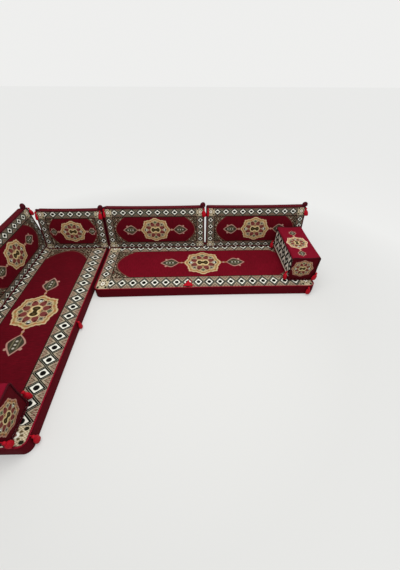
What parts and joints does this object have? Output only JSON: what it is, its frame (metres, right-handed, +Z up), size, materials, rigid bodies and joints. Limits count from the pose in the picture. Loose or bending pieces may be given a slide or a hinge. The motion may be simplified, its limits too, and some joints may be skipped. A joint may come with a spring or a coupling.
{
  "type": "majlis floor sofa",
  "caption": "L-shaped floor sofa of seat mattresses, leaning back cushions and arm cushions in patterned, piped and tasselled covers with zips.",
  "frame": {"origin": "middle of the whole set's footprint, on the floor", "axes": "+Z up, +X along the back wing to the viewer's right, +Y towards the back wall; the left wing runs along Y on the -X side"},
  "size_m": [2.9238, 2.1134, 0.5722],
  "materials": {
    "foam": "cut polyurethane foam, matt",
    "plain_cloth": "plain maroon woven cloth, matt",
    "seat_jacquard": "crimson jacquard with woven borders, medallion and corner spandrels",
    "back_jacquard": "crimson jacquard with woven borders, medallion and corner spandrels",
    "arm_jacquard": "crimson jacquard with a medallion on top and a woven band along each side",
    "arm_end_cloth": "dark crimson jacquard with a medallion, dark piping",
    "piping_cloth": "dark maroon cloth over cord",
    "zip": "woven tape and moulded nylon chain, dark maroon",
    "slider": "die-cast zip slider, dull silver",
    "tassel_yarn": "bright red rayon yarn"
  },
  "bodies": {
    "back_seat_mattress": {"back_seat_foam_core": "foam", "back_seat_top_panel": "seat_jacquard", "back_seat_base_panel": "plain_cloth", "back_seat_boxing": "plain_cloth", "back_seat_piping": "piping_cloth", "back_seat_zipper": "zip"},
    "left_seat_mattress": {"left_seat_foam_core": "foam", "left_seat_top_panel": "seat_jacquard", "left_seat_base_panel": "plain_cloth", "left_seat_boxing": "plain_cloth", "left_seat_piping": "piping_cloth", "left_seat_zipper": "zip"},
    "back_cushion_left_body": {"back_cushion_left_foam_core": "foam", "back_cushion_left_front_panel": "back_jacquard", "back_cushion_left_back_shell": "plain_cloth", "back_cushion_left_piping": "piping_cloth", "back_cushion_left_zipper": "zip"},
    "back_cushion_right_body": {"back_cushion_right_foam_core": "foam", "back_cushion_right_front_panel": "back_jacquard", "back_cushion_right_back_shell": "plain_cloth", "back_cushion_right_piping": "piping_cloth", "back_cushion_right_zipper": "zip"},
    "corner_cushion_body": {"corner_cushion_foam_core": "foam", "corner_cushion_front_panel": "back_jacquard", "corner_cushion_back_shell": "plain_cloth", "corner_cushion_piping": "piping_cloth", "corner_cushion_zipper": "zip"},
    "side_cushion_front_body": {"side_cushion_front_foam_core": "foam", "side_cushion_front_front_panel": "back_jacquard", "side_cushion_front_back_shell": "plain_cloth", "side_cushion_front_piping": "piping_cloth", "side_cushion_front_zipper": "zip"},
    "side_cushion_rear_body": {"side_cushion_rear_foam_core": "foam", "side_cushion_rear_front_panel": "back_jacquard", "side_cushion_rear_back_shell": "plain_cloth", "side_cushion_rear_piping": "piping_cloth", "side_cushion_rear_zipper": "zip"},
    "right_arm_body": {"right_arm_foam_core": "foam", "right_arm_wrap_cover": "arm_jacquard", "right_arm_end_panels": "arm_end_cloth", "right_arm_tassels": "tassel_yarn"},
    "left_arm_body": {"left_arm_foam_core": "foam", "left_arm_wrap_cover": "arm_jacquard", "left_arm_end_panels": "arm_end_cloth", "left_arm_tassels": "tassel_yarn"},
    "back_seat_slider": {"back_seat_zip_slider": "slider"},
    "left_seat_slider": {"left_seat_zip_slider": "slider"},
    "back_cushion_left_slider": {"back_cushion_left_zip_slider": "slider"},
    "back_cushion_right_slider": {"back_cushion_right_zip_slider": "slider"},
    "corner_cushion_slider": {"corner_cushion_zip_slider": "slider"},
    "side_cushion_front_slider": {"side_cushion_front_zip_slider": "slider"},
    "side_cushion_rear_slider": {"side_cushion_rear_zip_slider": "slider"},
    "back_cushion_left_tassel_pair": {"back_cushion_left_tassels": "tassel_yarn"},
    "back_cushion_right_tassel_pair": {"back_cushion_right_tassels": "tassel_yarn"},
    "corner_cushion_tassel_pair": {"corner_cushion_tassels": "tassel_yarn"},
    "side_cushion_front_tassel_pair": {"side_cushion_front_tassels": "tassel_yarn"},
    "side_cushion_rear_tassel_pair": {"side_cushion_rear_tassels": "tassel_yarn"},
    "back_seat_lying_tassel": {"back_seat_edge_tassel": "tassel_yarn"},
    "back_seat_hanging_tassel": {"back_seat_corner_tassel": "tassel_yarn"},
    "left_seat_hanging_tassels": {"left_seat_tassels": "tassel_yarn"}
  },
  "joints": [
    {"name": "left_seat_slide", "type": "slide", "parent": "back_seat_mattress", "child": "left_seat_mattress", "axis": [0, -1, 0], "range_m": [0, 0.6]},
    {"name": "back_cushion_left_lift_off", "type": "slide", "parent": "back_seat_mattress", "child": "back_cushion_left_body", "axis": [0, 0, 1], "range_m": [0, 0.3]},
    {"name": "back_cushion_right_lift_off", "type": "slide", "parent": "back_seat_mattress", "child": "back_cushion_right_body", "axis": [0, 0, 1], "range_m": [0, 0.3]},
    {"name": "corner_cushion_lift_off", "type": "slide", "parent": "left_seat_mattress", "child": "corner_cushion_body", "axis": [0, 0, 1], "range_m": [0, 0.3]},
    {"name": "side_cushion_front_lift_off", "type": "slide", "parent": "left_seat_mattress", "child": "side_cushion_front_body", "axis": [0, 0, 1], "range_m": [0, 0.3]},
    {"name": "side_cushion_rear_lift_off", "type": "slide", "parent": "left_seat_mattress", "child": "side_cushion_rear_body", "axis": [0, 0, 1], "range_m": [0, 0.3]},
    {"name": "right_arm_lift_off", "type": "slide", "parent": "back_seat_mattress", "child": "right_arm_body", "axis": [0, 0, 1], "range_m": [0, 0.3]},
    {"name": "left_arm_lift_off", "type": "slide", "parent": "left_seat_mattress", "child": "left_arm_body", "axis": [0, 0, 1], "range_m": [0, 0.3]},
    {"name": "back_seat_zip_slide", "type": "slide", "parent": "back_seat_mattress", "child": "back_seat_slider", "axis": [1, 0, 0], "range_m": [0, 0.8763]},
    {"name": "left_seat_zip_slide", "type": "slide", "parent": "left_seat_mattress", "child": "left_seat_slider", "axis": [0, 1, 0], "range_m": [0, 0.8763]},
    {"name": "back_cushion_left_zip_slide", "type": "slide", "parent": "back_cushion_left_body", "child": "back_cushion_left_slider", "axis": [1, 0, 0], "range_m": [0, 0.5763]},
    {"name": "back_cushion_right_zip_slide", "type": "slide", "parent": "back_cushion_right_body", "child": "back_cushion_right_slider", "axis": [1, 0, 0], "range_m": [0, 0.5763]},
    {"name": "corner_cushion_zip_slide", "type": "slide", "parent": "corner_cushion_body", "child": "corner_cushion_slider", "axis": [1, 0, 0], "range_m": [0, 0.3763]},
    {"name": "side_cushion_front_zip_slide", "type": "slide", "parent": "side_cushion_front_body", "child": "side_cushion_front_slider", "axis": [0, 1, 0], "range_m": [0, 0.5763]},
    {"name": "side_cushion_rear_zip_slide", "type": "slide", "parent": "side_cushion_rear_body", "child": "side_cushion_rear_slider", "axis": [0, 1, 0], "range_m": [0, 0.5763]},
    {"name": "back_cushion_left_tassel_swing", "type": "hinge", "parent": "back_cushion_left_body", "child": "back_cushion_left_tassel_pair", "pos_m": [0.3988, 0.96527, 0.52385], "axis": [-1, 0.0005, 0.0032], "range_deg": [0, 90]},
    {"name": "back_cushion_right_tassel_swing", "type": "hinge", "parent": "back_cushion_right_body", "child": "back_cushion_right_tassel_pair", "pos_m": [1.4398, 0.96527, 0.52388], "axis": [-1, 0.0005, 0.0032], "range_deg": [0, 90]},
    {"name": "corner_cushion_tassel_swing", "type": "hinge", "parent": "corner_cushion_body", "child": "corner_cushion_tassel_pair", "pos_m": [-0.6402, 0.9629, 0.50894], "axis": [-1, -0.0002, -0.001], "range_deg": [0, 90]},
    {"name": "side_cushion_front_tassel_swing", "type": "hinge", "parent": "side_cushion_front_body", "child": "side_cushion_front_tassel_pair", "pos_m": [-1.37106, -0.02499, 0.52771], "axis": [0.0001, -1, -0.0006], "range_deg": [0, 90]},
    {"name": "side_cushion_rear_tassel_swing", "type": "hinge", "parent": "side_cushion_rear_body", "child": "side_cushion_rear_tassel_pair", "pos_m": [-1.37046, 1.01401, 0.52388], "axis": [-0.0005, -1, 0.0032], "range_deg": [0, 30]},
    {"name": "back_seat_lying_tassel_flip", "type": "hinge", "parent": "back_seat_mattress", "child": "back_seat_lying_tassel", "pos_m": [0.2328, 0.23921, 0.1049], "axis": [1, 0, 0], "range_deg": [0, 225]},
    {"name": "back_seat_hanging_tassel_swing", "type": "hinge", "parent": "back_seat_mattress", "child": "back_seat_hanging_tassel", "pos_m": [1.3378, 0.24737, 0.0973], "axis": [-1, 0, 0], "range_deg": [0, 150]},
    {"name": "left_seat_hanging_tassels_swing", "type": "hinge", "parent": "left_seat_mattress", "child": "left_seat_hanging_tassels", "pos_m": [-0.65255, -0.95299, 0.0973], "axis": [0.0073, -1, 0], "range_deg": [0, 150]}
  ]
}
